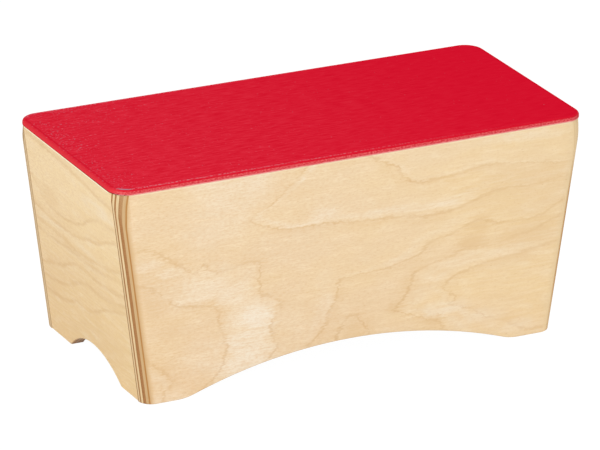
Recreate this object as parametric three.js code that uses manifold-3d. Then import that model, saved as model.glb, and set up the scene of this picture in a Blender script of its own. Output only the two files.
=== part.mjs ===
// Bongo cajon: a small box drum of birch plywood, with two sound chambers under one thin playing plate.
// Millimetres. +X runs along the length, +Y to the rear and +Z up.
// The origin lies on the floor, under the middle of the box.

import * as THREE from "three";
import { mergeVertices } from "three/addons/utils/BufferGeometryUtils.js";
import Module from "manifold-3d";

const wasm = await Module();
wasm.setup();

// Overall sizes: the ends lean in from the plate down to the feet
const topLength = 336;
const feetLength = 296;
const bodyDepth = 153;
const bodyHeight = 148.2;

// Playing plate
const plateThickness = 3.4;
const plateCornerRadius = 13;
const plateEdgeRadius = 2;

// Wall boards: the rear one is thicker than the rest
const wallThickness = 9;
const rearWallThickness = 12;
const uprightEdgeRadius = 9;
const arrisRadius = 0.8;

// Arches: a foot is the stretch from an outer corner to the start of an arch that stands in the middle,
// and an offset moves the arch along its board, toward the left or the front where it is negative
const longFootLength = 24.5;
const longArchHeight = 20.8;
const longArchFillet = 36;
const longArchOffset = -1;
const endFootLength = 37;
const endArchHeight = 15.2;
const endArchFillet = 3;
const endArchOffset = -3.5;

// Divider between the low and the high chamber, held in stopped housings in the long boards.
// Its lower edge lies a little above the crown of the long arches
const dividerThickness = 9;
const dividerOffset = 26;
const dividerRise = 11;
const housingDepth = 3;
const housingClearance = 0.2;

// Glue battens in the corners, and glue strips under the plate
const battenWidth = 14;
const battenNose = 5;
const battenLift = 36;
const stripWidth = 10;
const stripHeight = 10;
const glueGap = 0.2;

// Steps of each round: a corner and an arc of an arch take twice their count
const cornerDivisions = 9;
const archDivisions = 9;
const plateEdgeDivisions = 6;
const arrisDivisions = 3;

// Values that follow from the sizes
const wallTop = bodyHeight - plateThickness;
const lean = (topLength - feetLength) / 2 / wallTop;
const endWallRun = wallThickness * Math.hypot(1, lean);
const insideDepth = bodyDepth - wallThickness - rearWallThickness;
const insideMiddle = (wallThickness - rearWallThickness) / 2;
const dividerBottom = longArchHeight + dividerRise;
const stripBottom = wallTop - stripHeight;
const trimAllowance = wallThickness + rearWallThickness;
const sides = { left: -1, right: 1 };
const faces = { front: -1, rear: 1 };
const longBoardThickness = { front: wallThickness, rear: rearWallThickness };

// Half of the length outside, and between the end boards, at a height above the floor
function outerHalf(z) {
  return feetLength / 2 + lean * z;
}

function innerHalf(z) {
  return outerHalf(z) - endWallRun;
}

// Where the inner face of a long board stands, front to rear
function innerFace(face) {
  return insideMiddle + face * insideDepth / 2;
}

// Materials
const birch = new THREE.MeshStandardMaterial({ color: 0xedd0a3, roughness: 0.55, metalness: 0 });
const stainedRed = new THREE.MeshStandardMaterial({ color: 0xd41c30, roughness: 0.45, metalness: 0 });
const pine = new THREE.MeshStandardMaterial({ color: 0xe3c48d, roughness: 0.7, metalness: 0 });

// A closed geometry as a solid that can be cut, and back
function solidOf(geometry) {
  const bare = geometry.clone();
  bare.deleteAttribute("normal");
  bare.deleteAttribute("uv");
  const merged = mergeVertices(bare);
  const vertProperties = merged.attributes.position.array;
  const triVerts = new Uint32Array(merged.index.array);
  return new wasm.Manifold(new wasm.Mesh({ numProp: 3, vertProperties, triVerts }));
}

function geometryOf(solid) {
  const { vertProperties, triVerts } = solid.getMesh();
  const indexed = new THREE.BufferGeometry();
  indexed.setAttribute("position", new THREE.BufferAttribute(vertProperties, 3));
  indexed.setIndex(new THREE.BufferAttribute(triVerts, 1));
  const geometry = indexed.toNonIndexed();
  geometry.computeVertexNormals();
  return geometry;
}

function namedMesh(name, geometry, material) {
  const mesh = new THREE.Mesh(geometry, material);
  mesh.name = name;
  return mesh;
}

// A rectangle with round corners, seen from above
function roundedRectangle(length, depth, radius) {
  const x = length / 2 - radius;
  const y = depth / 2 - radius;
  const quarter = Math.PI / 2;
  const outline = new THREE.Shape();
  outline.absarc(x, -y, radius, -quarter, 0);
  outline.absarc(x, y, radius, 0, quarter);
  outline.absarc(-x, y, radius, quarter, 2 * quarter);
  outline.absarc(-x, -y, radius, 2 * quarter, 3 * quarter);
  return outline;
}

// A closed skin through outlines of equal point counts, stacked upwards
function loft(levels) {
  const rings = levels.map(({ outline }) => outline.getPoints(cornerDivisions));
  const count = rings[0].length;
  const positions = rings.flatMap((ring, i) => ring.flatMap((p) => [p.x, p.y, levels[i].z]));
  const top = (rings.length - 1) * count;
  const index = [];
  for (const [a, b, c] of THREE.ShapeUtils.triangulateShape(rings[0], [])) {
    index.push(a, c, b);
    index.push(top + a, top + b, top + c);
  }
  for (let start = 0; start < top; start += count) {
    for (let i = 0; i < count; i += 1) {
      const a = start + i;
      const b = start + ((i + 1) % count);
      index.push(a, b, b + count);
      index.push(a, b + count, a + count);
    }
  }
  const geometry = new THREE.BufferGeometry();
  geometry.setAttribute("position", new THREE.Float32BufferAttribute(positions, 3));
  geometry.setIndex(index);
  geometry.computeVertexNormals();
  return geometry;
}

// The outside of the box: leaning ends with rounded upright edges, which run out at the top into the wider,
// upright corners that the plate is trimmed to
function bodyEnvelope() {
  const below = -trimAllowance;
  const walls = loft([below, wallTop].map((z) => {
    return { z, outline: roundedRectangle(2 * outerHalf(z), bodyDepth, uprightEdgeRadius) };
  }));
  const plan = roundedRectangle(topLength, bodyDepth, plateCornerRadius);
  const plateColumn = loft([below, bodyHeight].map((z) => ({ z, outline: plan })));
  return solidOf(walls).intersect(solidOf(plateColumn));
}

// The outline of a board that stands on two feet, with convex fillets between the feet and the arch
function archedBoard(halfLength, middle, halfSpan, height, fillet) {
  const radiusSum = (halfSpan * halfSpan / height + height) / 2;
  const crownRadius = radiusSum - fillet;
  const sweep = Math.asin(halfSpan / radiusSum);
  const down = -Math.PI / 2;
  const up = Math.PI / 2;
  const outline = new THREE.Shape();
  outline.moveTo(-halfLength, 0);
  outline.lineTo(middle - halfSpan, 0);
  outline.absarc(middle - halfSpan, fillet, fillet, down, down + sweep);
  outline.absarc(middle, height - crownRadius, crownRadius, up + sweep, up - sweep, true);
  outline.absarc(middle + halfSpan, fillet, fillet, down - sweep, down);
  outline.lineTo(halfLength, 0);
  outline.lineTo(halfLength, wallTop + trimAllowance);
  outline.lineTo(-halfLength, wallTop + trimAllowance);
  return outline;
}

// A board cut to an outline, with its sharp edges broken on both faces, centred in its thickness
function boardBlank(outline, thickness) {
  const geometry = new THREE.ExtrudeGeometry(outline, {
    depth: thickness - 2 * arrisRadius,
    curveSegments: archDivisions,
    bevelThickness: arrisRadius,
    bevelSize: arrisRadius,
    bevelOffset: -arrisRadius,
    bevelSegments: arrisDivisions,
  });
  return geometry.translate(0, 0, arrisRadius - thickness / 2);
}

// Long board at the front or rear, trimmed to the body and housed for the divider
function longBoard(face, thickness) {
  const halfLength = topLength / 2 + trimAllowance;
  const halfSpan = feetLength / 2 - longFootLength;
  const outline = archedBoard(halfLength, longArchOffset, halfSpan, longArchHeight, longArchFillet);
  const blank = boardBlank(outline, thickness);
  blank.rotateX(Math.PI / 2);
  blank.translate(0, face * (bodyDepth - thickness) / 2, 0);

  const housingBottom = dividerBottom - housingClearance;
  const housingHeight = wallTop + trimAllowance - housingBottom;
  const housingWidth = dividerThickness + 2 * housingClearance;
  const housing = new THREE.BoxGeometry(housingWidth, 2 * housingDepth, housingHeight);
  housing.translate(dividerOffset, innerFace(face), housingBottom + housingHeight / 2);
  return geometryOf(solidOf(blank).intersect(envelope).subtract(solidOf(housing)));
}

// Leaning end board, fitted between the long boards
function endBoard(side) {
  const halfLength = bodyDepth / 2 + trimAllowance;
  const halfSpan = bodyDepth / 2 - endFootLength;
  const outline = archedBoard(halfLength, endArchOffset, halfSpan, endArchHeight, endArchFillet);
  const blank = boardBlank(outline, endWallRun);
  const toYZ = new THREE.Matrix4().makeBasis(
    new THREE.Vector3(0, 1, 0),
    new THREE.Vector3(0, 0, 1),
    new THREE.Vector3(1, 0, 0),
  );
  blank.applyMatrix4(toYZ);
  blank.applyMatrix4(new THREE.Matrix4().makeShear(0, 0, 0, 0, side * lean, 0));
  blank.translate(side * (feetLength - endWallRun) / 2, 0, 0);

  const room = 2 * (wallTop + trimAllowance);
  const bay = new THREE.BoxGeometry(topLength + room, insideDepth, room);
  bay.translate(0, insideMiddle, 0);
  return geometryOf(solidOf(blank).intersect(envelope).intersect(solidOf(bay)));
}

// Plate with its upper edge rounded over
function playingPlate() {
  const round = Math.min(plateEdgeRadius, plateThickness);
  const plan = (inset) => {
    return roundedRectangle(topLength - 2 * inset, bodyDepth - 2 * inset, plateCornerRadius - inset);
  };
  const levels = [{ z: wallTop, outline: plan(0) }];
  for (let i = 0; i <= plateEdgeDivisions; i += 1) {
    const angle = i / plateEdgeDivisions * Math.PI / 2;
    const z = bodyHeight - round + round * Math.sin(angle);
    if (z > wallTop) levels.push({ z, outline: plan(round * (1 - Math.cos(angle))) });
  }
  return loft(levels);
}

// Divider that reaches into both housings and up to the plate
function chamberDivider() {
  const height = wallTop - dividerBottom;
  const width = insideDepth + 2 * (housingDepth - housingClearance);
  const board = new THREE.BoxGeometry(dividerThickness, width, height);
  const divider = namedMesh("chamber_divider", board, birch);
  divider.position.set(dividerOffset, insideMiddle, dividerBottom + height / 2);
  return divider;
}

// Corner batten with a blunted nose, leaning with the end board it is glued to
function cornerBatten(side, face) {
  const section = [
    [0, 0],
    [battenWidth, 0],
    [battenWidth, battenNose],
    [battenNose, battenWidth],
    [0, battenWidth],
  ];
  const corner = section.map(([u, v]) => new THREE.Vector2(-side * u, -face * v));
  const depth = stripBottom - battenLift;
  const geometry = new THREE.ExtrudeGeometry(new THREE.Shape(corner), { depth, bevelEnabled: false });
  geometry.applyMatrix4(new THREE.Matrix4().makeShear(0, 0, 0, 0, side * lean, 0));
  geometry.translate(side * (innerHalf(battenLift) - glueGap), innerFace(face), battenLift);
  return geometry;
}

// A strip under the plate: its section along the length, extruded across the depth from front to rear
function plateStrip(nearX, side, front, rear) {
  const outer = (z) => side * (innerHalf(z) - glueGap);
  const section = new THREE.Shape([
    new THREE.Vector2(nearX, stripBottom),
    new THREE.Vector2(outer(stripBottom), stripBottom),
    new THREE.Vector2(outer(wallTop), wallTop),
    new THREE.Vector2(nearX, wallTop),
  ]);
  const geometry = new THREE.ExtrudeGeometry(section, { depth: rear - front, bevelEnabled: false });
  return geometry.rotateX(Math.PI / 2).translate(0, rear, 0);
}

// Strip along a long board, from the divider to the end board
function longStrip(side, face) {
  const nearX = dividerOffset + side * (dividerThickness / 2 + glueGap);
  const seat = innerFace(face);
  const inner = seat - face * stripWidth;
  return plateStrip(nearX, side, Math.min(seat, inner), Math.max(seat, inner));
}

// Strip along an end board, between the two long strips
function endStrip(side) {
  const nearX = side * (innerHalf(wallTop) - stripWidth);
  return plateStrip(nearX, side, innerFace(faces.front) + stripWidth, innerFace(faces.rear) - stripWidth);
}

const envelope = bodyEnvelope();
const cajon = new THREE.Group();
const walls = new THREE.Group();
const battens = new THREE.Group();
cajon.add(walls, battens);

cajon.add(namedMesh("playing_plate", playingPlate(), stainedRed));
cajon.add(chamberDivider());
for (const [faceName, face] of Object.entries(faces)) {
  walls.add(namedMesh(`${faceName}_board`, longBoard(face, longBoardThickness[faceName]), birch));
}
for (const [sideName, side] of Object.entries(sides)) {
  walls.add(namedMesh(`${sideName}_end_board`, endBoard(side), birch));
  battens.add(namedMesh(`${sideName}_end_plate_strip`, endStrip(side), pine));
  for (const [faceName, face] of Object.entries(faces)) {
    battens.add(namedMesh(`${faceName}_${sideName}_corner_batten`, cornerBatten(side, face), pine));
    battens.add(namedMesh(`${faceName}_${sideName}_plate_strip`, longStrip(side, face), pine));
  }
}

export default cajon;
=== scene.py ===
from dataclasses import dataclass
from math import asin, atan2, copysign, cos, degrees, hypot, pi, radians, sin, sqrt
from typing import NamedTuple

import bmesh
import bpy
from mathutils import Matrix, Vector


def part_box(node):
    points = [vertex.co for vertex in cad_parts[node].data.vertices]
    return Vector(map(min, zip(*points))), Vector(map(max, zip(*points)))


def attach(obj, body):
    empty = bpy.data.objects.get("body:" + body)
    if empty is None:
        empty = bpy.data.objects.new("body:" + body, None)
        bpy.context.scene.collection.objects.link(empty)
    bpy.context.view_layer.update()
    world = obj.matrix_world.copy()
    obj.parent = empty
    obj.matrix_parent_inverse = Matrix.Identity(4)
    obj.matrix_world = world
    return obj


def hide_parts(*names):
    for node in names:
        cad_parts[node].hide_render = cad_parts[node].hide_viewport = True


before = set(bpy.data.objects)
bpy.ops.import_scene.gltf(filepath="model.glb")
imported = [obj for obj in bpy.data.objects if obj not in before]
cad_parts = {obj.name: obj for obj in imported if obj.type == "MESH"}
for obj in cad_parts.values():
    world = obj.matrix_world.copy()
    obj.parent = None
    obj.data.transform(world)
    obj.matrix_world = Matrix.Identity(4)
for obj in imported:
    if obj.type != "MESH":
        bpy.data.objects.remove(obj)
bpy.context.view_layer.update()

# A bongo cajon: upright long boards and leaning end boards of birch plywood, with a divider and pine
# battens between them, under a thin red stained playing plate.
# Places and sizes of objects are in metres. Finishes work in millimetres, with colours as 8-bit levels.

# Camera, as the photograph was taken
AZIMUTH = radians(-27.151)
ELEVATION = radians(21.632)
ROLL = radians(0.869)
DISTANCE = 3.5187
TARGET = Vector((-0.00005, 0.0, 0.0715))
LENS = 324.07
SENSOR_WIDTH = 36.0

# Studio
FLOOR_HALF = 4.0
FLOOR_DROP = 0.0002
FLOOR_GLOW_SHARE = 0.92
FLOOR_GLOW_LEVEL = 1.075
FLOOR_GREY = 0.86
SKY_LIGHT = 0.66
LAMP_DISTANCE = 3.0
MAIN_LAMP_DIRECTION = Vector((-0.66, -0.72, 0.62)).normalized()
MAIN_LAMP_SIZE = 2.2
MAIN_LAMP_POWER = 50.0
FILL_LAMP_DIRECTION = Vector((0.78, 0.57, 0.26)).normalized()
FILL_LAMP_SIZE = 1.2
FILL_LAMP_POWER = 26.0

# Body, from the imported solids
PLATE_LOW, PLATE_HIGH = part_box("playing_plate")
FRONT_LOW, FRONT_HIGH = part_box("front_board")
REAR_LOW, REAR_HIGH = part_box("rear_board")
WALL_TOP = PLATE_LOW.z
HALF_LENGTH = PLATE_HIGH.x
HALF_DEPTH = PLATE_HIGH.y
WALL = FRONT_HIGH.y - FRONT_LOW.y
REAR_WALL = REAR_HIGH.y - REAR_LOW.y
FOOT_HALF_LENGTH = 0.148
LEAN = (HALF_LENGTH - FOOT_HALF_LENGTH) / WALL_TOP
LEAN_STRETCH = hypot(1, LEAN)

# Rounds and small edges
PLATE_CORNER = 0.013
PLATE_ROUND = 0.002
CORNER_FLARE = 0.0016
FLARE_HEIGHT = 0.012
UPRIGHT_ROUND = 0.009
ARRIS = 0.0008
EASE = 0.0002

# Arches: feet, height and fillet, and how far they lie off the middle
LONG_FOOT = 0.0245
LONG_ARCH = 0.0208
LONG_FILLET = 0.036
LONG_OFFSET = -0.001
END_FOOT = 0.037
END_ARCH = 0.0152
END_FILLET = 0.003
END_OFFSET = -0.0035

# Housing of the divider in the long boards
DIVIDER_LOW, DIVIDER_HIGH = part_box("chamber_divider")
HOUSING_PLAY = 0.0002
HOUSING_LEFT = DIVIDER_LOW.x - HOUSING_PLAY
HOUSING_RIGHT = DIVIDER_HIGH.x + HOUSING_PLAY
HOUSING_BOTTOM = DIVIDER_LOW.z - HOUSING_PLAY
HOUSING_DEPTH = DIVIDER_HIGH.y + HOUSING_PLAY - (HALF_DEPTH - REAR_WALL)

# Fineness of the meshes
CORNER_STEPS = 14
FOOT_STEPS = 8
FILLET_STEPS = 8
CROWN_STEPS = 28
ARRIS_STEPS = 4
EASE_STEPS = 2
PLATE_ROUND_STEPS = 10
LOWER_ROWS = 6
UPPER_ROWS = 26
RUN_OUT = 0.080
WELD = 2e-5
SHARP_ANGLE = radians(40)
LOWEST_ROW_GAP = 0.0032
OPEN_ROWS = 2
BATTEN_EASE = 0.0004
ROUND_PROFILE = 0.5
FLAT_ANGLE = radians(1)

BODY = "root"

RIGHTWARD = Vector((1, 0, 0))
REARWARD = Vector((0, 1, 0))
UPWARD = Vector((0, 0, 1))

# Finishes: millimetres in a metre, the average of noise, and the colour sockets of a mix node
MILLIMETRES = 1000.0
MEAN_NOISE = 0.5
MIX_FIRST = 6
MIX_SECOND = 7
MIX_RESULT = 2


class Grain(NamedTuple):
    """Noise in a finish: its features' length and height, in millimetres, its layer and its detail."""

    length: float
    height: float
    layer: float = 0.0
    detail: float = 2.0
    roughness: float = 0.5


class Wash(NamedTuple):
    """A colour over a finish: the levels of a field where it starts and is full, and its full share."""

    start: float
    full: float
    colour: tuple
    share: float = 1.0


class Ring:
    """A growth ring line in a board's face: how far its pale side reaches, inward above zero and outward
    below, how pale that side is, and the line's places along and up the board, in millimetres."""

    def __init__(self, reach, pale, *places):
        self.reach = reach
        self.pale = pale
        self.places = places


class Hill(NamedTuple):
    """Growth rings round one middle: how many times wider than high they are, whether they show above (1)
    or below (-1) the middle, and the angle over which they show, in degrees."""

    middle: tuple
    width: float
    way: int
    span: float
    rings: tuple


class Patch(NamedTuple):
    """A soft patch of a board's face: its middle and its reach along and up the board, in millimetres, and
    its tone, darker above zero and paler below."""

    middle: tuple
    reach: tuple
    tone: float


class Sheet(NamedTuple):
    """A board's finish: the rings of its face, how broad and dark their lines are, the tones at its foot
    and top, with painted shade that darkens the foot, its place in the noise, the patches of its face and
    how dark its cut plies are."""

    hills: tuple
    line_reach: float
    line_share: float
    foot_shaded_tones: tuple
    seed: float
    patches: tuple = ()
    ply_share: float = 1.0


FRONT_HILLS = (
    Hill((-153, 5), 1.0, 1, 240, (
        Ring(10, 0.3, (-157, 32), (-148, 30), (-140, 25), (-133, 20), (-129, 15), (-130, 10), (-134, 7)),
        Ring(0, 0, (-156, 83), (-150, 82), (-140, 77), (-133, 71), (-127, 66), (-118, 64), (-107, 62),
             (-100, 60), (-97, 55), (-97, 49), (-94, 42), (-91, 27), (-92, 20), (-97, 14), (-108, 5)),
        Ring(34, 0.6, (-162, 103), (-156, 104), (-148, 106), (-140, 102), (-128, 94), (-116, 87),
             (-112, 85), (-108, 89), (-102, 85), (-93, 84), (-73, 87), (-66, 85), (-68, 75), (-66, 64),
             (-54, 57), (-52, 52), (-58, 44), (-58, 37), (-56, 25), (-64, 15)),
    )),
    Hill((142, 28), 2.6, 1, 300, (
        Ring(-13, 0.4, (158, 66), (148, 64), (127, 60), (112, 58), (97, 56), (76, 52), (66, 46), (66, 43),
             (73, 39), (74, 35), (72, 32), (82, 28), (94, 22), (107, 16), (120, 11), (128, 5)),
        Ring(17, 0.3, (158, 83), (148, 80), (130, 74), (117, 73), (110, 70), (97, 68), (86, 70), (70, 65),
             (58, 63), (47, 59), (42, 50), (38, 43), (32, 38), (30, 36), (40, 31), (52, 25), (62, 21)),
        Ring(-12, 0.25, (160, 95), (152, 92), (143, 87), (136, 84), (112, 84), (100, 85), (93, 88),
             (78, 84), (66, 80), (52, 77), (49, 73), (42, 69), (23, 65), (2, 64), (-8, 64), (-10, 56),
             (-16, 45), (-22, 30), (-32, 22)),
    )),
    Hill((70, 155), 2.6, -1, 240, (
        Ring(5, 0.2, (4, 147), (17, 140), (30, 134), (34, 129), (44, 122), (61, 121), (92, 125), (107, 124),
             (132, 120), (154, 117), (164, 116)),
        Ring(10, 0.6, (-34, 145), (-43, 136), (-54, 126), (-60, 122), (-76, 114), (-72, 111), (-63, 108),
             (-50, 104), (-28, 104), (7, 100), (27, 99), (64, 97), (82, 101), (97, 105), (112, 107),
             (127, 106), (164, 110)),
    )),
    Hill((1, 20), 1.0, 1, 240, (
        Ring(0, 0, (-9, 26), (-8, 31), (-6, 35), (0, 37), (4, 35), (7, 30), (11, 24)),
    )),
)
FRONT_PATCHES = tuple(Patch(*row) for row in (
    ((91, 85), (13, 9), 1.1), ((87, 73), (15, 9), 1.3),
    ((128, 74), (36, 12), 0.8), ((31, 37), (9, 6), 1.0),
    ((58, 22), (10, 6), 1.0), ((0, 27), (10, 14), 0.8),
    ((42, 52), (8, 10), 0.5), ((130, 96), (55, 16), 0.4),
    ((126, 110), (64, 13), 0.7), ((-52, 131), (14, 10), 0.5),
    ((-152, 78), (42, 26), 0.8), ((-131, 54), (16, 16), 0.4),
    ((-88, 141), (42, 28), -0.5), ((-94, 110), (32, 16), -0.3),
    ((-22, 110), (14, 6), -0.7), ((16, 104), (26, 4), -0.6),
    ((125, 140), (46, 4), -0.6), ((-20, 56), (8, 28), -0.4),
    ((-104, 78), (30, 15), -0.65), ((-74, 38), (25, 34), -1.2),
    ((-106, 27), (20, 14), -0.45), ((-48, 36), (18, 22), -0.25),
    ((-84, 65), (18, 11), -0.7), ((-76, 14), (30, 22), -1.0),
    ((-146, 95), (15, 4), -0.5), ((-128, 88), (16, 5), -0.8),
    ((-132, 2), (20, 8), -0.5), ((66, 31), (24, 7), -0.7),
    ((98, 21), (20, 7), -0.7), ((122, 8), (18, 8), -0.9),
))
REAR_HILLS = (
    Hill((-118, 2), 2.2, 1, 240, (
        Ring(8, 0.4, (-152, 20), (-130, 34), (-104, 30), (-88, 20), (-78, 6)),
        Ring(14, 0.4, (-160, 48), (-128, 60), (-92, 50), (-62, 44), (-40, 26)),
        Ring(-10, 0.4, (-164, 82), (-120, 84), (-70, 74), (-38, 66), (-6, 40), (4, 22)),
    )),
    Hill((96, 150), 2.4, -1, 240, (
        Ring(6, 0.4, (40, 140), (62, 122), (100, 116), (140, 124), (156, 130)),
        Ring(-12, 0.4, (-8, 140), (20, 112), (70, 92), (118, 96), (162, 100)),
        Ring(10, 0.4, (-60, 142), (-44, 118), (0, 88), (60, 66), (110, 62), (156, 70)),
    )),
)
LEFT_HILLS = (
    Hill((0, -420), 1.0, 1, 30, (
        Ring(4, 0.12, (-61, 30), (-44, 31), (-26, 35), (-16, 39), (-1, 38), (19, 44), (29, 49), (44, 54),
             (64, 60)),
        Ring(0, 0, (-61, 40), (-36, 44), (-14, 52), (6, 59), (24, 59), (44, 61), (64, 65)),
        Ring(4, 0.12, (-60, 50), (-38, 56), (-26, 59), (-16, 64), (-1, 68), (12, 69), (29, 69), (49, 71),
             (64, 72)),
        Ring(0, 0, (-61, 74), (-46, 74), (-26, 75), (-6, 76), (9, 76), (29, 78), (64, 81)),
        Ring(3, 0.12, (-62, 81), (-38, 81), (-18, 80), (-4, 79), (12, 80), (29, 83), (49, 85), (64, 89)),
        Ring(5, 0.12, (-61, 91), (-46, 89), (-31, 88), (-14, 88), (4, 90), (19, 95), (31, 98), (44, 103),
             (64, 109)),
        Ring(0, 0, (-62, 112), (-51, 104), (-43, 99), (-31, 97), (-1, 99), (14, 104), (24, 110), (36, 114),
             (64, 116)),
        Ring(6, 0.12, (-62, 142), (-31, 141), (-1, 139), (36, 135), (64, 132)),
    )),
)
LEFT_PATCHES = tuple(Patch(*row) for row in (
    ((40, 124), (32, 7), -0.5), ((-12, 85), (60, 3), -0.3),
    ((-12, 75), (60, 3), -0.3), ((-35, 105), (20, 9), 0.9),
    ((15, 40), (14, 8), 0.6),
))
RIGHT_HILLS = (
    Hill((-20, -380), 1.0, 1, 36, (
        Ring(4, 0.4, (-64, 34), (-30, 44), (4, 40), (36, 30), (64, 22)),
        Ring(0, 0, (-64, 58), (-28, 64), (10, 58), (40, 52), (64, 40)),
        Ring(5, 0.4, (-64, 74), (-34, 78), (2, 80), (30, 72), (64, 66)),
        Ring(0, 0, (-64, 92), (-20, 96), (14, 98), (44, 90), (64, 82)),
        Ring(5, 0.4, (-64, 118), (-26, 112), (10, 116), (38, 120), (64, 114)),
    )),
)
DIVIDER_HILLS = (
    Hill((10, 520), 1.0, -1, 40, (
        Ring(4, 0.4, (-64, 60), (-20, 52), (24, 56), (64, 50)),
        Ring(0, 0, (-64, 92), (-16, 84), (20, 90), (64, 86)),
        Ring(5, 0.4, (-64, 118), (-10, 112), (30, 120), (64, 116)),
    )),
)
# The tones at a board's foot and top: the foot is darker as painted shade
LONG_FOOT_SHADED_TONES = (231, 204, 169), (232, 208, 174)
END_FOOT_SHADED_TONES = (226, 195, 145), (243, 218, 174)
FRONT_SHEET = Sheet(FRONT_HILLS, 2.0, 0.38, LONG_FOOT_SHADED_TONES, seed=1.0, patches=FRONT_PATCHES)
REAR_SHEET = Sheet(REAR_HILLS, 2.2, 0.4, LONG_FOOT_SHADED_TONES, seed=41.0, ply_share=0.6)
LEFT_SHEET = Sheet(LEFT_HILLS, 2.6, 0.33, END_FOOT_SHADED_TONES, seed=83.0, patches=LEFT_PATCHES)
RIGHT_SHEET = Sheet(RIGHT_HILLS, 2.6, 0.33, END_FOOT_SHADED_TONES, seed=127.0)
DIVIDER_SHEET = Sheet(DIVIDER_HILLS, 3.0, 0.3, LONG_FOOT_SHADED_TONES, seed=163.0)


def display_colour(red, green, blue):
    """The linear colour of 8-bit display levels."""
    levels = []
    for level in (red, green, blue):
        share = level / 255
        levels.append(share / 12.92 if share <= 0.04045 else ((share + 0.055) / 1.055) ** 2.4)
    return (*levels, 1.0)


class Field:
    """A number that varies over a surface. Arithmetic on it adds math nodes to its graph."""

    def __init__(self, graph, socket):
        self.graph = graph
        self.socket = socket

    def __add__(self, other):
        return self.graph.math("ADD", self, other)

    def __sub__(self, other):
        return self.graph.math("SUBTRACT", self, other)

    def __rsub__(self, other):
        return self.graph.math("SUBTRACT", other, self)

    def __mul__(self, other):
        return self.graph.math("MULTIPLY", self, other)

    def __truediv__(self, other):
        return self.graph.math("DIVIDE", self, other)

    def __abs__(self):
        return self.graph.math("ABSOLUTE", self)


class Graph:
    """A node tree, with a short call for each node that finishes and studio use."""

    def __init__(self, tree):
        self.tree = tree

    def node(self, kind, inputs=None, **settings):
        """A new node with its settings, and values for its inputs by name or number."""
        node = self.tree.nodes.new(f"ShaderNode{kind}")
        for name, value in settings.items():
            setattr(node, name, value)
        for key, value in (inputs or {}).items():
            self.feed(node.inputs[key], value)
        return node

    def feed(self, socket, value):
        """Link a field or socket to a socket, or set a plain value on it."""
        if isinstance(value, Field):
            value = value.socket
        if isinstance(value, bpy.types.NodeSocket):
            self.tree.links.new(value, socket)
        else:
            socket.default_value = value

    def math(self, operation, *values):
        node = self.node("Math", dict(enumerate(values)), operation=operation)
        return Field(self, node.outputs[0])

    def dot(self, vector, direction):
        node = self.node("VectorMath", {0: vector, 1: direction}, operation="DOT_PRODUCT")
        return Field(self, node.outputs["Value"])

    def noise(self, grain, x, y, third=0.0):
        """Smooth noise between 0 and 1, about 0.5 on average, with features as large as its grain says."""
        place = {"X": x / grain.length, "Y": y / grain.height, "Z": third + grain.layer}
        node = self.node("TexNoise", {
            "Vector": self.node("CombineXYZ", place).outputs[0],
            "Scale": 1.0,
            "Detail": grain.detail,
            "Roughness": grain.roughness,
        })
        return Field(self, node.outputs[0])

    def fade(self, value, start, end):
        """0 up to start, 1 past end, and a smooth step between them."""
        node = self.node("MapRange", {
            "Value": value,
            "From Min": min(start, end),
            "From Max": max(start, end),
            "To Min": 0.0 if start < end else 1.0,
            "To Max": 1.0 if start < end else 0.0,
        }, interpolation_type="SMOOTHSTEP")
        return Field(self, node.outputs["Result"])

    def curve(self, value, points):
        """A smooth curve through points, level past its ends."""
        node = self.node("FloatCurve", {"Value": value})
        node.mapping.extend = "HORIZONTAL"
        line = node.mapping.curves[0]
        line.points[0].location = points[0]
        line.points[1].location = points[-1]
        for x, y in points[1:-1]:
            line.points.new(x, y)
        node.mapping.update()
        return Field(self, node.outputs["Value"])

    def most(self, *values):
        """The largest of several numbers."""
        largest = values[0]
        for value in values[1:]:
            largest = self.math("MAXIMUM", largest, value)
        return largest

    def mix(self, share, *colours):
        """One colour turned into another. A plain colour is three display levels."""
        first, second = (display_colour(*c) if isinstance(c, tuple) else c for c in colours)
        inputs = {"Factor": share, MIX_FIRST: first, MIX_SECOND: second}
        return self.node("Mix", inputs, data_type="RGBA").outputs[MIX_RESULT]

    def wash(self, base, field, wash, times=1.0):
        """A colour with a wash over it, where a field reaches the wash's levels, times a further share."""
        return self.mix(self.fade(field, wash.start, wash.full) * wash.share * times, base, wash.colour)

    def ramp(self, field, start, end, low, high):
        """A share that goes smoothly from low to high as a field goes from start to end."""
        return between(self.fade(field, start, end), low, high)


class Finish(Graph):
    """The node tree of a material."""

    def __init__(self, name, roughness, specular):
        self.material = bpy.data.materials.new(name)
        self.material.use_nodes = True
        super().__init__(self.material.node_tree)
        self.shader = self.tree.nodes["Principled BSDF"]
        self.shader.inputs["Roughness"].default_value = roughness
        self.shader.inputs["Specular IOR Level"].default_value = specular
        source = self.node("TexCoord")
        self.place = source.outputs["Object"]
        self.normal = source.outputs["Normal"]

    def measure(self, axis):
        """Where a place lies along an axis, in millimetres."""
        return self.dot(self.place, axis * MILLIMETRES)

    def bump(self, height, distance, strength):
        """Make the surface look as uneven as a field is, over a distance in metres."""
        node = self.node("Bump", {"Strength": strength, "Distance": distance, "Height": height})
        self.feed(self.shader.inputs["Normal"], node.outputs["Normal"])

    def paint(self, colour):
        """The finished material."""
        self.feed(self.shader.inputs["Base Color"], colour)
        return self.material


def between(share, low, high):
    """A share from 0 to 1, made to run from low to high."""
    return share * (high - low) + low


# Growth ring curves are kept as shares of this radius
RING_REACH = 1000.0

# Beside a ring line: where its darker side starts, is full and ends, and where its pale side is full
SHADE_START = -12.0
SHADE_FULL = -1.5
SHADE_END = 3.0
PALE_FULL = 0.6


def round_hill(hill, place):
    """Where a place lies round a hill: its share of the span, and its radius as if the hill were round."""
    across = place[0] - hill.middle[0]
    above = (place[1] - hill.middle[1]) * hill.width * hill.way
    return 0.5 + degrees(atan2(across, above)) / hill.span, hypot(across, above) / RING_REACH


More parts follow.
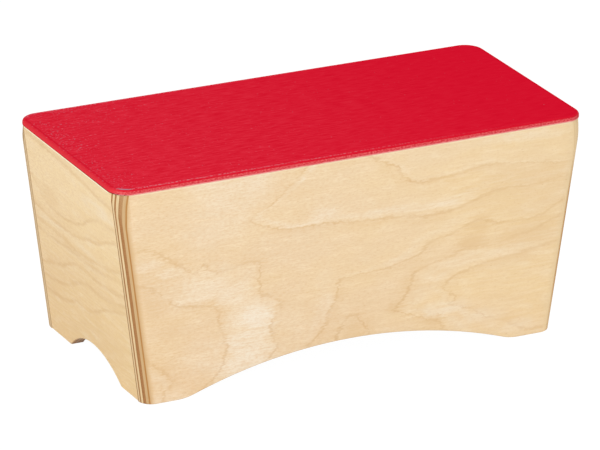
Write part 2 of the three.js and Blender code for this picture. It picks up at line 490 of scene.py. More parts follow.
def growth_rings(graph, along, up, sheet):
    """How far a point belongs to a ring line, to a ring's pale side and to its darker side."""
    lines, pales, shades = [], [], []
    for hill in sheet.hills:
        across = along - hill.middle[0]
        height = up - hill.middle[1]
        above = height * (hill.width * hill.way)
        radius = graph.math("SQRT", across * across + above * above)
        flatness = graph.math("SQRT", across * across + height * height) / radius
        turn = graph.math("ARCTAN2", across, above) / radians(hill.span) + 0.5
        for ring in hill.rings:
            outline = graph.curve(turn, sorted(round_hill(hill, place) for place in ring.places))
            inside = (outline * RING_REACH - radius) * flatness
            lines.append(graph.fade(abs(inside), sheet.line_reach, 0.0))
            pale_side = inside * copysign(1, ring.reach)
            shade = graph.fade(pale_side, SHADE_START, SHADE_FULL)
            shades.append(shade * graph.fade(pale_side, SHADE_END, SHADE_FULL))
            if ring.pale:
                reach = abs(ring.reach)
                rise = graph.fade(pale_side, 0.0, PALE_FULL * reach)
                pales.append(rise * graph.fade(pale_side, reach, PALE_FULL * reach) * ring.pale)
    return graph.most(*lines), graph.most(*pales), graph.most(*shades)


# Noise in birch
SWAY = Grain(34, 15)
LIFT = Grain(45, 20, 7.3)
TEAR = Grain(16, 1.5, 3.1)
CRINKLE = Grain(4, 3, 9.0)
LINE_BREAKS = Grain(30, 11, 11.0, detail=1.0)
SHADE_BREAKS = Grain(26, 9, 31.0)
PALE_BREAKS = Grain(40, 16, 13.0)
STREAKS = Grain(24, 1.8, 5.0, detail=3.0)
FIBRES = Grain(3.2, 0.95, 17.0, roughness=0.65)
CLOUDS = Grain(60, 26, 29.0)
DRIFTS = Grain(15, 5, 43.0, detail=3.0)
MOTTLES = Grain(1.7, 1.2, 19.0, detail=1.0)
FLECKS = Grain(3.0, 0.8, 23.0, detail=1.0)
STRANDS = Grain(22, 0.35)
PORES = Grain(0.9, 0.9)
PORE_DEPTH = 0.6

# How far noise pulls streaks, rings and patches about
STREAK_SWAY = 6
SWAY_PULL = 7
TEAR_PULL = 8
CRINKLE_PULL = 5
LIFT_RISE = 6
CRINKLE_RISE = 4
PATCH_TEAR = 12

# Along the board, how much of the ring lines and pale places is kept: from, to, and the shares there
LINE_ALONG = 20.0, 140.0, 1.0, 0.58
PALE_ALONG = 30.0, 150.0, 1.0, 0.65

# The face: its tones up the board, darker at the foot as painted shade, its tones along the board, and what
# lies over them
FOOT_SHADE_SPAN = 0.0, 145.0
WARM_ALONG = -70.0, 160.0, 0.0, 0.4
WARM_BIRCH = (239, 211, 157)
DULL_ENDS = Wash(60.0, 150.0, (222, 192, 150), 0.15)
LIGHT_DRIFT = Wash(0.5, 0.75, (244, 226, 197), 0.35)
DULL_DRIFT = Wash(0.5, 0.25, (224, 191, 146), 0.25)
LIGHT_STREAK = Wash(0.4, 0.75, (245, 224, 192), 0.35)
SHADE_BIRCH = (216, 178, 126)
PALE_BIRCH = (242, 230, 211)
FIBRE_WASH = Wash(0.35, 0.75, (224, 190, 146))
FIBRE_ALONG = 120.0, -90.0, 0.3, 0.7
MOTTLE_WASH = Wash(0.55, 0.8, (222, 186, 140), 0.35)
LINE_BIRCH = (206, 164, 110)
FLECK_WASH = Wash(0.68, 0.80, (204, 160, 108), 0.4)

# Seven plies, the third the thickest, and how soft their edges are
OUTER_PLY = 1.1
INNER_PLY = 1.4
THIRD_PLY_SPAN = 2.5, 4.2
THIRD_PLY_GROWTH = 0.3
LATER_PLY_SPAN = 5.6, 6.6
LATER_PLY_SHRINK = 0.4
PLY_TURN = 0.22
PLY_BLUR = 0.2

# Cut plies, darker at the left end of the front board than at its right end, where the plies and the
# upright rounds are painted paler as painted light
LEFT_SPAN = 100.0, 0.0
CORE_SPAN = 2.4, 4.2
CORE_TONES = (200, 168, 124), (224, 200, 157)
STRAND_WASH = Wash(0.35, 0.7, (180, 142, 96), 0.35)
BROWN_DEPTH = 1.0, 1.9
BROWN_TOP = 130.0, 90.0
BROWN_FOOT = 4.0, 40.0, 0.4, 1.0
RIGHT_TONES = (238, 209, 162), (202, 151, 89)
ROUND_PAINTED_LIGHT_TONES = (243, 215, 169), (203, 168, 122)
END_GRAIN_TONES = (138, 86, 46), (182, 136, 88)
GLUE_WASH = Wash(0.2, 0.0, (150, 100, 54), 0.6)
RIM_WIDTH = 0.5
RIM_BIRCH = (174, 122, 62)

# A pale painted highlight right under the plate, most of it on the end boards
UNDER_PLATE_HIGHLIGHT_SPAN = 1.1, 0.4
UNDER_PLATE_HIGHLIGHT = (254, 244, 216)


class Board(Finish):
    """A plywood board's finish: places along its face, up it and under it, and where an edge is cut."""

    def __init__(self, name, outward, face_offset, foot, sheet):
        super().__init__(name, roughness=0.52, specular=0.1)
        along_axis = UPWARD.cross(outward)
        up_axis = outward.cross(along_axis)
        self.outward = outward
        self.sheet = sheet
        self.along = self.measure(along_axis)
        self.up = self.measure(up_axis) - foot
        self.depth = face_offset - self.measure(outward)
        self.cut_along = abs(self.dot(self.normal, along_axis))
        self.cut_up = abs(self.dot(self.normal, up_axis))
        self.cut = self.fade(self.cut_along + self.cut_up, 0.05, 0.3)
        self.sway = self.veneer(SWAY) - MEAN_NOISE
        self.streak = self.noise(STREAKS, self.along, self.up + self.sway * STREAK_SWAY, sheet.seed)
        self.fibre = self.veneer(FIBRES)

    def veneer(self, grain):
        """Noise over the board's face."""
        return self.noise(grain, self.along, self.up, self.sheet.seed)


def drawn_rings(board):
    """How far a point belongs to a ring line, a pale place and a darker one, torn along the fibres."""
    lift = board.veneer(LIFT) - MEAN_NOISE
    tear = board.veneer(TEAR) - MEAN_NOISE
    crinkle = board.veneer(CRINKLE) - MEAN_NOISE
    along = board.along + board.sway * SWAY_PULL + tear * TEAR_PULL + crinkle * CRINKLE_PULL
    up = board.up + lift * LIFT_RISE + crinkle * CRINKLE_RISE
    line, pale, shade = growth_rings(board, along, up, board.sheet)
    line = line * board.ramp(board.veneer(LINE_BREAKS), 0.3, 0.62, 0.4, 1.0)
    line = line * board.ramp(board.along, *LINE_ALONG)
    shade = shade * board.ramp(board.veneer(SHADE_BREAKS), 0.35, 0.65, 0.2, 1.0)
    for patch in board.sheet.patches:
        across = (along + tear * PATCH_TEAR - patch.middle[0]) / patch.reach[0]
        rise = (up - patch.middle[1]) / patch.reach[1]
        away = across * across + rise * rise + (board.streak - MEAN_NOISE) * 1.2
        share = board.fade(away, 1.0, 0.0) * abs(patch.tone)
        if patch.tone > 0:
            shade = board.most(shade, share * between(board.streak, 0.6, 2.6))
            pale = pale * (1.0 - share)
        else:
            pale = board.most(pale, share)
    pale = pale * board.ramp(board.streak + board.veneer(PALE_BREAKS), 0.75, 1.2, 0.3, 1.0)
    return line, pale * board.ramp(board.along, *PALE_ALONG), shade


def birch_face(board):
    """The face veneer: slow changes of tone, ring lines, fibres and flecks."""
    line, pale, shade = drawn_rings(board)
    drift = board.veneer(DRIFTS)
    warm = board.ramp(board.veneer(CLOUDS), 0.35, 0.7, 0.0, 0.25) + board.ramp(board.along, *WARM_ALONG)
    # Painted shade: the face darkens towards the board's foot
    face = board.mix(board.fade(board.up, *FOOT_SHADE_SPAN), *board.sheet.foot_shaded_tones)
    face = board.mix(warm, face, WARM_BIRCH)
    face = board.wash(face, abs(board.along), DULL_ENDS)
    face = board.wash(face, drift, LIGHT_DRIFT)
    face = board.wash(face, drift, DULL_DRIFT)
    face = board.wash(face, board.streak, LIGHT_STREAK)
    face = board.mix(shade * 0.2, face, SHADE_BIRCH)
    face = board.mix(pale * 0.85, face, PALE_BIRCH)
    fibre_share = board.ramp(board.along, *FIBRE_ALONG) * (1.0 - pale * 0.4)
    face = board.wash(face, board.fibre, FIBRE_WASH, fibre_share)
    face = board.wash(face, board.veneer(MOTTLES), MOTTLE_WASH)
    face = board.mix(line * board.sheet.line_share, face, LINE_BIRCH)
    return board.wash(face, board.veneer(FLECKS), FLECK_WASH)


def cut_core(board, strand, left):
    """The plies under the face, painted paler at the right hand end of the front board as painted light,
    with a brown line there.
    """
    core = board.mix(board.fade(board.depth, *CORE_SPAN), *CORE_TONES)
    core = board.wash(core, strand, STRAND_WASH)
    brown = board.fade(board.depth, *BROWN_DEPTH) * board.fade(board.up, *BROWN_TOP)
    brown = brown * board.ramp(board.up, *BROWN_FOOT)
    return board.mix(left, board.mix(brown, *RIGHT_TONES), core)


def cut_plies(board, face):
    """The face with its cut edges: the fibres of every other ply run up the board, and a cut across fibres
    is dark, less so at the right hand end of the front board, where it is painted paler as painted light."""
    depth = board.depth
    left = board.fade(board.along, *LEFT_SPAN) if board.outward.y < 0 else 1.0
    dark = between(left, 0.12, 1.0) * board.sheet.ply_share
    uneven = depth - board.fade(depth, *THIRD_PLY_SPAN) * THIRD_PLY_GROWTH
    uneven = uneven + board.fade(depth, *LATER_PLY_SPAN) * LATER_PLY_SHRINK
    wave = board.math("SINE", (uneven - OUTER_PLY) / INNER_PLY * pi)
    strand = board.noise(STRANDS, board.up, depth, board.along / STRANDS.length)
    # Painted light on the upright rounds: paler at the right end, darker at the left end
    rounded = board.mix(left, *ROUND_PAINTED_LIGHT_TONES)
    face = board.mix(board.ramp(board.cut_along, 0.03, 0.45, 0.0, 0.85), face, rounded)
    under_face = board.cut * board.fade(depth, OUTER_PLY - PLY_BLUR, OUTER_PLY + PLY_BLUR)
    surface = board.mix(under_face, face, cut_core(board, strand, left))
    upright_ply = board.fade(wave, -PLY_TURN, PLY_TURN)
    across_fibres = board.cut_along * (1.0 - upright_ply) + board.cut_up * upright_ply
    pores = board.noise(PORES, board.along, board.up, depth / PORE_DEPTH)
    end_grain = board.mix(pores, *END_GRAIN_TONES)
    surface = board.mix(board.fade(across_fibres, 0.3, 0.8) * dark, surface, end_grain)
    surface = board.wash(surface, abs(wave), GLUE_WASH, board.cut * dark)
    rim = board.fade(depth, OUTER_PLY - PLY_BLUR, OUTER_PLY)
    rim = rim * board.fade(depth, OUTER_PLY + RIM_WIDTH, OUTER_PLY + PLY_BLUR)
    return board.mix(rim * board.cut * dark * between(strand, 0.6, 1.2), surface, RIM_BIRCH)


def highlight_under_plate(board, surface):
    """A board with a pale painted highlight along the plate."""
    under_plate = WALL_TOP * MILLIMETRES - board.measure(UPWARD)
    share = board.fade(under_plate, *UNDER_PLATE_HIGHLIGHT_SPAN) * (1.0 - board.cut)
    return board.mix(share * between(abs(board.outward.x), 0.25, 1.0), surface, UNDER_PLATE_HIGHLIGHT)


def birch_plywood(name, outward, face_offset, foot, sheet):
    """Birch plywood: a rotary-cut face with ring lines, and the plies where an edge is cut."""
    board = Board(name, outward, face_offset, foot, sheet)
    surface = cut_plies(board, birch_face(board))
    board.bump(board.fibre, distance=0.00003, strength=0.3)
    # A pale painted highlight along the board's top, under the plate
    return board.paint(highlight_under_plate(board, surface))


# Noise in the red stain
PLATE_STREAKS = Grain(11, 1.5, 3.0, detail=3.0, roughness=0.6)
PLATE_CLUSTERS = Grain(34, 13, 41.0)
PLATE_FLECKS = Grain(1.9, 2.0, 21.0, detail=1.0)
PLATE_GREYS = Grain(1.8, 2.0, 27.0, detail=1.0)
EDGE_RUBS = Grain(3, 0.9, 31.0)
EDGE_MOTTLES = Grain(1.3, 0.8, 33.0, detail=1.0)
ARRIS_DOTS = Grain(2.0, 2.0, 37.0)

# The plate's face, from right to left, the left paler as painted sheen, and where it is worn, as shares
# of half its length
STAIN_AND_SHEEN_TONES = (216, 17, 44), (216, 31, 51)
THIN_STAIN = Wash(0.4, 0.75, (226, 50, 68))
THICK_STAIN = Wash(0.5, 0.25, (205, 10, 36), 0.55)
WORN_REAR_START = 0.3
WORN_REAR_FULL = 0.9
WORN_END_START = 0.75
PINK_FLECKS = Wash(0.68, 0.84, (218, 92, 108))
GREY_FLECKS = Wash(0.72, 0.84, (176, 104, 120))

# The plate's edge, by height over the walls: lighter than the top as painted light on its round, rubbed
# pink low on the long sides, with a painted shade line low on the ends
PINK_TONES = (200, 48, 58), (222, 96, 98)
UPPER_RED = Wash(2.3, 2.9, (208, 8, 36))
RUBBED_PINK = Wash(1.5, 0.7, (240, 158, 154))
END_EDGE_TONES = (221, 56, 66), (212, 48, 58)
END_SEAM_SHADE = Wash(0.8, 0.4, (110, 22, 28))
SEAM_SHADE_ALONG = 20.0, -60.0, 0.4, 0.9

# The line inside the plate's upper arris, by its inset, and the front left corner's crease and painted
# shadow
ARRIS_OUTER = 1.4, 2.0
ARRIS_INNER = 3.6, 2.6
LONG_ARRIS = 9.0, 5.0
END_ARRIS_RED = (206, 16, 38)
DOT_PINK = (214, 128, 140)
CREASE = Wash(9.0, 3.0, (150, 136, 150), 0.9)
CREASE_SPOT = 6.5, 4.0
CORNER_SHADOW = Wash(9.0, 5.0, (84, 24, 26))
CORNER_SHADOW_SPOT = 4.0, 3.0


class Plate(Finish):
    """The playing plate's finish: places on it and their height over the walls."""

    def __init__(self, name):
        super().__init__(name, roughness=0.6, specular=0.0)
        self.x = self.measure(RIGHTWARD)
        self.y = self.measure(REARWARD)
        self.z = self.measure(UPWARD)
        self.height = self.z - WALL_TOP * MILLIMETRES
        self.half = HALF_LENGTH * MILLIMETRES
        self.half_depth = HALF_DEPTH * MILLIMETRES
        self.leftward = self.fade(self.x, self.half, -self.half)
        self.streak = self.noise(PLATE_STREAKS, self.x, self.y)
        self.dots = self.fade(self.noise(ARRIS_DOTS, self.x + self.y, self.x - self.y), 0.42, 0.62)

    def off_spot(self, spot):
        """How far a point is, along plus across, from a spot measured from the left end and the front."""
        return abs(self.x + self.half - spot[0]) + abs(self.y + self.half_depth - spot[1])


def stained_face(plate):
    """Stain, paler to the left as painted sheen and thinner there, with pink and grey flecks in clusters.
    """
    half = plate.half
    # Painted sheen: the stain's tone is paler towards the left end
    stain = plate.mix(plate.leftward, *STAIN_AND_SHEEN_TONES)
    stain = plate.wash(stain, plate.streak, THIN_STAIN, between(plate.leftward, 0.15, 0.95))
    stain = plate.wash(stain, plate.streak, THICK_STAIN)
    cluster = plate.ramp(plate.noise(PLATE_CLUSTERS, plate.x, plate.y), 0.42, 0.66, 0.0, 0.5)
    rear_left = plate.fade(plate.x, -half * WORN_REAR_START, -half * WORN_REAR_FULL)
    rear_left = rear_left * plate.fade(plate.y, 0.0, plate.half_depth)
    worn = plate.most(rear_left, plate.fade(plate.x, -half * WORN_END_START, -half))
    pink = plate.noise(PLATE_FLECKS, plate.x, plate.y) + plate.leftward * 0.1
    pink = pink + worn * 0.06 - 0.04
    stain = plate.wash(stain, pink, PINK_FLECKS, cluster + 0.25)
    grey = plate.noise(PLATE_GREYS, plate.x, plate.y) + worn * 0.12
    return plate.wash(stain, grey, GREY_FLECKS, cluster + 0.3)


def rubbed_edge_with_painted_light(plate):
    """The plate's edge, painted lighter than the top as painted light on its round: rubbed pink along
    the long sides, and a painted shade line along its foot against the end boards.
    """
    rub = plate.noise(EDGE_RUBS, plate.x + plate.y, plate.z)
    mottle = plate.fade(plate.noise(EDGE_MOTTLES, plate.x, plate.z), 0.3, 0.7)
    # Painted light: the edge bands are lighter than the plate's top
    long_band = plate.wash(plate.mix(mottle, *PINK_TONES), plate.height, UPPER_RED)
    long_band = plate.wash(long_band, plate.height + rub, RUBBED_PINK)
    end_band = plate.mix(plate.fade(plate.height, 1.0, 3.0), *END_EDGE_TONES)
    # Painted shade: a dark line along the foot of the edge against the end boards, strongest at the front
    end_band = plate.wash(end_band, plate.height, END_SEAM_SHADE, plate.ramp(plate.y, *SEAM_SHADE_ALONG))
    long_edge = plate.fade(abs(plate.dot(plate.normal, REARWARD)), 0.35, 0.7)
    return plate.mix(long_edge, end_band, long_band)


def worn_arris_and_corner_shadow(plate, surface):
    """The upper arris: dark along the ends, worn in dots along the front and rear, and creased at the front
    left corner, with a dark painted shadow line under that corner."""
    corner = PLATE_CORNER * MILLIMETRES
    over_x = plate.most(abs(plate.x) - (plate.half - corner), 0.0)
    over_y = plate.most(abs(plate.y) - (plate.half_depth - corner), 0.0)
    inset = corner - plate.math("SQRT", over_x * over_x + over_y * over_y)
    arris = plate.fade(inset, *ARRIS_OUTER) * plate.fade(inset, *ARRIS_INNER)
    on_long = plate.fade(plate.half_depth - abs(plate.y), *LONG_ARRIS)
    surface = plate.mix(arris * (1.0 - on_long) * 0.6, surface, END_ARRIS_RED)
    arris = arris * on_long
    surface = plate.mix(arris * plate.dots * plate.leftward * 0.85, surface, DOT_PINK)
    surface = plate.wash(surface, plate.off_spot(CREASE_SPOT), CREASE, arris)
    # Painted shadow: a dark line along the plate's foot under the front left corner
    shadow_line = plate.fade(plate.height, 0.9, 0.4) * between(plate.dots, 0.4, 0.9)
    return plate.wash(surface, plate.off_spot(CORNER_SHADOW_SPOT), CORNER_SHADOW, shadow_line)


def red_stain(name):
    """Red stained plywood: pale flecks along the grain, and edges rubbed pale."""
    plate = Plate(name)
    on_edge = plate.fade(plate.dot(plate.normal, UPWARD), 0.95, 0.75)
    surface = plate.mix(on_edge, stained_face(plate), rubbed_edge_with_painted_light(plate))
    plate.bump(plate.streak, distance=0.00004, strength=0.5)
    return plate.paint(worn_arris_and_corner_shadow(plate, surface))


# Pine: its rings lie aslant over the batten's section
PINE_SWAY = Grain(60, 8)
PINE_FIBRES = Grain(10, 0.4, 4.0, detail=3.0)
PINE_SLANT = 0.8, 0.6
PINE_SWAY_PULL = 6
PINE_RING = 2.6
PINE_TONES = (236, 208, 160), (204, 160, 104)
PINE_FIBRE = Wash(0.4, 0.8, (196, 152, 100), 0.25)


def pine(name, fibre_axis, seed):
    """Planed pine: straight early and late wood along the fibres."""
    graph = Finish(name, roughness=0.6, specular=0.25)
    side_axis = fibre_axis.orthogonal().normalized()
    along = graph.measure(fibre_axis)
    side = graph.measure(side_axis)
    rise = graph.measure(fibre_axis.cross(side_axis))
    sway = graph.noise(PINE_SWAY, along, side, seed) - MEAN_NOISE
    across = side * PINE_SLANT[0] + rise * PINE_SLANT[1] + sway * PINE_SWAY_PULL
    phase = graph.math("FRACT", across / PINE_RING)
    late = graph.ramp(phase, 0.55, 0.95, 0.0, 0.6) * graph.fade(phase, 1.0, 0.95)
    fibre = graph.noise(PINE_FIBRES, along, side + rise, seed)
    wood = graph.mix(late, *PINE_TONES)
    graph.bump(fibre, distance=0.00005, strength=0.5)
    return graph.paint(graph.wash(wood, fibre, PINE_FIBRE))


def quarter(steps):
    """Angles from 0 to a right angle."""
    return [pi / 2 * step / steps for step in range(steps + 1)]


def spread(start, end, steps):
    """Even steps from start to end."""
    return [start + (end - start) * step / steps for step in range(steps + 1)]


class Arch:
    """The lower edge of a board: two feet, and between them an arch with convex fillets."""

    def __init__(self, middle, half_span, height, fillet):
        self.middle = middle
        self.half_span = half_span
        self.fillet = fillet
        radius_sum = (half_span * half_span / height + height) / 2
        self.crown_radius = radius_sum - fillet
        self.crown_centre = height - self.crown_radius
        self.sweep = asin(half_span / radius_sum)
        self.crown_reach = self.crown_radius * sin(self.sweep)

    def edge(self, along):
        """The height of the edge at a place along the board, and how steeply it falls there."""
        place = abs(along - self.middle)
        if place >= self.half_span:
            return 0.0, 0.0
        if place >= self.crown_reach:
            slope = asin((self.half_span - place) / self.fillet)
            height = self.fillet * (1 - cos(slope))
        else:
            slope = asin(place / self.crown_radius)
            height = self.crown_centre + self.crown_radius * cos(slope)
        return height, copysign(slope, along - self.middle)

    def places(self):
        """Places along the arch, from foot to foot."""
        crown = [self.crown_radius * sin(a) for a in spread(-self.sweep, self.sweep, CROWN_STEPS)]
        fillet = [self.half_span - self.fillet * sin(a) for a in spread(self.sweep, 0, FILLET_STEPS)]
        fillet.pop(0)
        return [self.middle + place for place in [-f for f in reversed(fillet)] + crown + fillet]


@dataclass
class Station:
    """One upright cut through a board: where it stands, its two faces' depths, how far it leans, and
    whether it lies in the divider's housing."""

    along: float
    outer: float
    inner: float
    lean: float = 0.0
    housed: bool = False


def row_heights():
    """Heights of the rows of faces, closer together where the upright rounds run out. Two rows lie at the
    housing's bottom: one outside it and one in it."""
    lower = [max(LONG_ARCH, END_ARCH) + LOWEST_ROW_GAP, HOUSING_BOTTOM]
    middle = spread(HOUSING_BOTTOM, RUN_OUT, LOWER_ROWS)
    upper = spread(RUN_OUT, WALL_TOP - EASE, UPPER_ROWS)
    return lower + middle + upper[1:-1]


def section(station, arch):
    """The outline of an upright cut, as places along, depths and heights, from the outer foot round."""
    foot, slope = arch.edge(station.along)
    thickness = station.inner - station.outer
    arris = min(ARRIS, thickness / 2)
    ease = min(EASE, thickness / 2)
    outer, inner = [], []
    for angle in quarter(ARRIS_STEPS):
        inset = arris * (1 - cos(angle))
        sunk = arris * (1 - sin(angle))
        along = station.along + sin(slope) * inset
        height = foot + cos(slope) * inset
        outer.append((along, station.outer + sunk, height))
        inner.append((along, station.inner - sunk, height))
    for row, height in enumerate(row_heights()):
        housed = station.housed and row >= OPEN_ROWS
        outer.append((station.along, station.outer, height))
        inner.append((station.along, station.inner - HOUSING_DEPTH * housed, height))
    top_inner = station.inner - HOUSING_DEPTH * station.housed
    for angle in quarter(EASE_STEPS):
        sunk = ease * (1 - cos(angle))
        height = WALL_TOP - ease * (1 - sin(angle))
        outer.append((station.along, station.outer + sunk, height))
        inner.append((station.along, top_inner - sunk, height))
    return outer + inner[::-1]


def corner_radius(z):
    """The walls' plan corner: the plate's, rubbed rounder right under the plate."""
    rise = max(0.0, 1 - (WALL_TOP - z) / FLARE_HEIGHT)
    return PLATE_CORNER + CORNER_FLARE * rise * rise


def trimmed(x, y, z):
    """A point of the walls, trimmed to the upright plan corners but kept on its side of the joint."""
    corner = corner_radius(z)
    over_x = abs(x) - (HALF_LENGTH - corner)
    over_y = abs(y) - (HALF_DEPTH - corner)
    reach = hypot(over_x, over_y)
    if over_x > 0 and over_y > 0 and reach > corner:
        joint = corner - (REAR_WALL if y > 0 else WALL) + EASE
        kept_y = over_y if over_y <= joint else max(over_y * corner / reach, joint)
        kept_x = sqrt(corner**2 - kept_y**2)
        x = copysign(HALF_LENGTH - corner + kept_x, x)
        y = copysign(HALF_DEPTH - corner + kept_y, y)
    return (x, y, z)


def foot_places(arch, side, end):
    """Places along one foot, from the arch to the end, as shares of the foot and places along the board."""
    start = arch.middle + side * arch.half_span
    return [(share, start + (side * end - start) * share) for share in spread(0, 1, FOOT_STEPS)[1:]]


def long_stations(arch, wall):
    """Stations of a long board, whose ends are rounded over down to the joint with the end boards."""
    round_start = FOOT_HALF_LENGTH - UPRIGHT_ROUND
    tip = asin(EASE / UPRIGHT_ROUND)
    stations = [Station(place, 0.0, wall) for place in arch.places()]
    for side in (-1, 1):
        for share, place in foot_places(arch, side, round_start):
            stations.append(Station(place, 0.0, wall, side * LEAN * share))
        for angle in spread(pi / 2, tip, CORNER_STEPS)[1:]:
            place = side * (round_start + UPRIGHT_ROUND * cos(angle))
            stations.append(Station(place, UPRIGHT_ROUND * (1 - sin(angle)), wall, side * LEAN))
        stations[-1].inner = wall - EASE
    for place in (HOUSING_LEFT, HOUSING_RIGHT):
        for housed in (False, True):
            stations.append(Station(place, 0.0, wall, housed=housed))
    for station in stations:
        station.housed = station.housed or HOUSING_LEFT < station.along < HOUSING_RIGHT
    middle = (HOUSING_LEFT + HOUSING_RIGHT) / 2
    return sorted(stations, key=lambda s: (s.along, s.housed == (s.along < middle)))


def end_stations(arch):
    """Stations of an end board, whose upright edges are eased where they meet the long boards."""
    thickness = WALL * LEAN_STRETCH
    stations = [Station(place, 0.0, thickness) for place in arch.places()]
    for side, end in ((-1, HALF_DEPTH - WALL), (1, HALF_DEPTH - REAR_WALL)):
        for _, place in foot_places(arch, side, end - EASE)[:-1]:
            stations.append(Station(place, 0.0, thickness))
        for angle in quarter(EASE_STEPS):
            sunk = EASE * (1 - cos(angle))
            stations.append(Station(side * (end - EASE * (1 - sin(angle))), sunk, thickness - sunk))
    return sorted(stations, key=lambda s: s.along)


def skin(node, loops):
    """A closed mesh through loops of equal point counts, with its open ends filled."""
    shape = bmesh.new()
    rings = [[shape.verts.new(point) for point in loop] for loop in loops]
    for ring, following in zip(rings, rings[1:]):
        for a, b, c, d in zip(ring, ring[1:] + ring[:1], following[1:] + following[:1], following):
            shape.faces.new((a, b, c, d))
    shape.faces.new(rings[0])
    shape.faces.new(rings[-1])
    bmesh.ops.remove_doubles(shape, verts=shape.verts, dist=WELD)
    bmesh.ops.dissolve_degenerate(shape, edges=shape.edges, dist=WELD)
    bmesh.ops.recalc_face_normals(shape, faces=shape.faces)
    return finished(node, shape)


def placed(name, data):
    """A new object in the scene."""
    thing = bpy.data.objects.new(name, data)
    bpy.context.scene.collection.objects.link(thing)
    return thing


def finished(node, shape):
    """A smooth object with face weighted normals, from a built shape."""
    for face in shape.faces:
        face.smooth = True
    for edge in shape.edges:
        edge.smooth = edge.calc_face_angle(0.0) < SHARP_ANGLE
    name = f"{node}_shaped"
    mesh = bpy.data.meshes.new(name)
    shape.to_mesh(mesh)
    shape.free()
    piece = placed(name, mesh)
    piece.modifiers.new("face weighted normals", "WEIGHTED_NORMAL").keep_sharp = True
    return piece


def long_board(node, face, wall):
    """A long board at the front or rear, trimmed to the plate and housed for the divider."""
    arch = Arch(LONG_OFFSET, FOOT_HALF_LENGTH - LONG_FOOT, LONG_ARCH, LONG_FILLET)
    loops = []
    for station in long_stations(arch, wall):
        cut = section(station, arch)
        loops.append([trimmed(s + station.lean * z, face * (HALF_DEPTH - depth), z) for s, depth, z in cut])
    return skin(node, loops)


def end_board(node, side):
    """A leaning end board between the long boards."""
    arch = Arch(END_OFFSET, HALF_DEPTH - END_FOOT, END_ARCH, END_FILLET)
    loops = []
    for station in end_stations(arch):
        cut = section(station, arch)
        loops.append([trimmed(side * (FOOT_HALF_LENGTH + LEAN * z - depth), s, z) for s, depth, z in cut])
    return skin(node, loops)


def plate_ring(inset, z):
    """The plate's outline at one level."""
    radius = PLATE_CORNER - inset
    corners = ((1, -1, -pi / 2), (1, 1, 0.0), (-1, 1, pi / 2), (-1, -1, pi))
    ring = []
    for side, face, start in corners:
        for turn in quarter(CORNER_STEPS):
            x = side * (HALF_LENGTH - PLATE_CORNER) + radius * cos(start + turn)
            y = face * (HALF_DEPTH - PLATE_CORNER) + radius * sin(start + turn)
            ring.append((x, y, z))
    return ring


def playing_plate(node):
    """The plate, eased underneath and rounded on top."""
    loops = []
    for angle in quarter(EASE_STEPS):
        inset = EASE * (1 - sin(angle))
        loops.append(plate_ring(inset, WALL_TOP + EASE * (1 - cos(angle))))
    for angle in quarter(PLATE_ROUND_STEPS):
        inset = PLATE_ROUND * (1 - cos(angle))
        loops.append(plate_ring(inset, PLATE_HIGH.z - PLATE_ROUND * (1 - sin(angle))))
    return skin(node, loops)


def planed(node):
    """A plain board or batten with its edges eased."""
    shape = bmesh.new()
    shape.from_mesh(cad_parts[node].data)
    bmesh.ops.remove_doubles(shape, verts=shape.verts, dist=WELD)
    bmesh.ops.dissolve_limit(shape, angle_limit=FLAT_ANGLE, verts=shape.verts, edges=shape.edges)
    bmesh.ops.bevel(shape, geom=shape.edges, offset=BATTEN_EASE, segments=EASE_STEPS,
                    profile=ROUND_PROFILE, affect="EDGES")
    return finished(node, shape)


def dress(node, piece, material):
    """A piece stands for its node, in its own finish."""
    piece.data.materials.clear()
    piece.data.materials.append(material)
    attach(piece, BODY)
    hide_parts(node)


def make_walls():
    """The plywood boards, each with its face's direction, how far out that lies and where it starts."""
    rise = -LEAN / LEAN_STRETCH
    run = 1 / LEAN_STRETCH
    long_face = HALF_DEPTH * MILLIMETRES, 0.0
    end_face = FOOT_HALF_LENGTH * run * MILLIMETRES, -FOOT_HALF_LENGTH * rise * MILLIMETRES
    divider_face = DIVIDER_HIGH.x * MILLIMETRES, 0.0
    walls = (
        ("front_board", long_board("front_board", -1, WALL), (0, -1, 0), long_face, FRONT_SHEET),
        ("rear_board", long_board("rear_board", 1, REAR_WALL), (0, 1, 0), long_face, REAR_SHEET),
        ("left_end_board", end_board("left_end_board", -1), (-run, 0, rise), end_face, LEFT_SHEET),
        ("right_end_board", end_board("right_end_board", 1), (run, 0, rise), end_face, RIGHT_SHEET),
        ("chamber_divider", planed("chamber_divider"), (1, 0, 0), divider_face, DIVIDER_SHEET),
    )
    for node, piece, outward, (offset, foot), sheet in walls:
        dress(node, piece, birch_plywood(f"birch {node}", Vector(outward), offset, foot, sheet))


def make_battens():
    """The pine battens in the corners and the strips under the plate."""
    upright = pine("pine upright", UPWARD, 3.0)
    lengthwise = pine("pine lengthwise", RIGHTWARD, 19.0)
    crosswise = pine("pine crosswise", REARWARD, 37.0)
    for end in ("left", "right"):
        battens = {f"{end}_end_plate_strip": crosswise}
        for face in ("front", "rear"):
            battens[f"{face}_{end}_corner_batten"] = upright
            battens[f"{face}_{end}_plate_strip"] = lengthwise
        for node, material in battens.items():
            dress(node, planed(node), material)


def seen_rays(graph, path):
    """1 for rays that show the background: straight to the camera, mirrored or through glass."""
    kinds = "Is Camera Ray", "Is Glossy Ray", "Is Transmission Ray"
    return graph.most(*(path.outputs[kind] for kind in kinds))


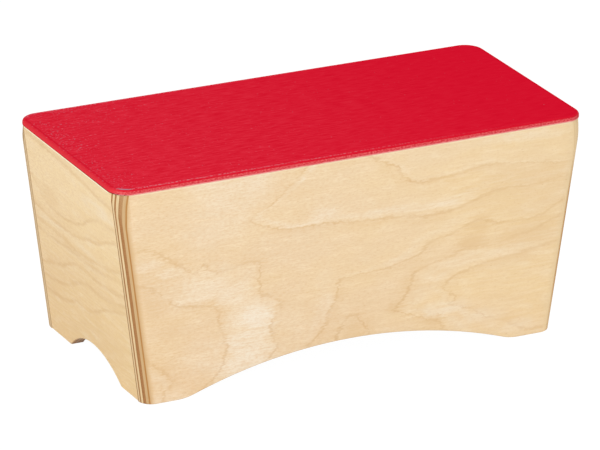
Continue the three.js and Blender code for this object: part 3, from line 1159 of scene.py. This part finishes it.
def white_floor():
    """White that mostly glows where it is seen, takes a little shadow, and is clear from below."""
    material = bpy.data.materials.new("white floor")
    material.use_nodes = True
    graph = Graph(material.node_tree)
    graph.tree.nodes.clear()
    path = graph.node("LightPath")
    side = graph.node("NewGeometry")
    glowing = seen_rays(graph, path) * FLOOR_GLOW_SHARE
    below = graph.math("MULTIPLY", side.outputs["Backfacing"], path.outputs["Is Camera Ray"])
    diffuse = graph.node("BsdfDiffuse", {"Color": (FLOOR_GREY, FLOOR_GREY, FLOOR_GREY, 1.0)})
    glow = graph.node("Emission", {"Strength": FLOOR_GLOW_LEVEL})
    clear = graph.node("BsdfTransparent")
    lit = graph.node("MixShader", {"Fac": glowing, 1: diffuse.outputs[0], 2: glow.outputs[0]})
    whole = graph.node("MixShader", {"Fac": below, 1: lit.outputs[0], 2: clear.outputs[0]})
    graph.node("OutputMaterial", {"Surface": whole.outputs[0]})
    return material


def make_floor():
    """A square white floor right under the feet."""
    mesh = bpy.data.meshes.new("floor")
    sides = (-1, -1), (1, -1), (1, 1), (-1, 1)
    corners = [(along * FLOOR_HALF, across * FLOOR_HALF, -FLOOR_DROP) for along, across in sides]
    mesh.from_pydata(corners, [], [range(len(corners))])
    floor = placed("floor", mesh)
    mesh.materials.append(white_floor())


def make_sky():
    """An even white surround: full white to look at, softer as a light."""
    world = bpy.data.worlds.new("white surround")
    world.use_nodes = True
    graph = Graph(world.node_tree)
    seen = seen_rays(graph, graph.node("LightPath"))
    background = graph.tree.nodes["Background"]
    background.inputs["Color"].default_value = (1.0, 1.0, 1.0, 1.0)
    graph.feed(background.inputs["Strength"], between(seen, SKY_LIGHT, 1.0))
    bpy.context.scene.world = world


def make_lamp(name, direction, size, power):
    """A soft square lamp that faces the object."""
    lamp = bpy.data.lights.new(name, "AREA")
    lamp.shape = "SQUARE"
    lamp.size = size
    lamp.energy = power
    holder = placed(name, lamp)
    holder.location = direction * LAMP_DISTANCE
    holder.rotation_euler = direction.to_track_quat("Z", "Y").to_euler()


def make_camera():
    """The camera, turned round its line of sight by the roll."""
    back = Vector((sin(AZIMUTH) * cos(ELEVATION), -cos(AZIMUTH) * cos(ELEVATION), sin(ELEVATION)))
    level = Vector((cos(AZIMUTH), sin(AZIMUTH), 0.0))
    upright = back.cross(level)
    right = level * cos(ROLL) + upright * sin(ROLL)
    up = upright * cos(ROLL) - level * sin(ROLL)
    lens = bpy.data.cameras.new("camera")
    lens.lens = LENS
    lens.sensor_width = SENSOR_WIDTH
    lens.sensor_fit = "HORIZONTAL"
    camera = placed("camera", lens)
    turn = Matrix((right, up, back)).transposed().to_4x4()
    camera.matrix_world = Matrix.Translation(TARGET + back * DISTANCE) @ turn
    bpy.context.scene.camera = camera


make_camera()
dress("playing_plate", playing_plate("playing_plate"), red_stain("red stain"))
make_walls()
make_battens()
make_floor()
make_sky()
make_lamp("main lamp", MAIN_LAMP_DIRECTION, MAIN_LAMP_SIZE, MAIN_LAMP_POWER)
make_lamp("fill lamp", FILL_LAMP_DIRECTION, FILL_LAMP_SIZE, FILL_LAMP_POWER)
bpy.context.scene.view_settings.view_transform = "Standard"
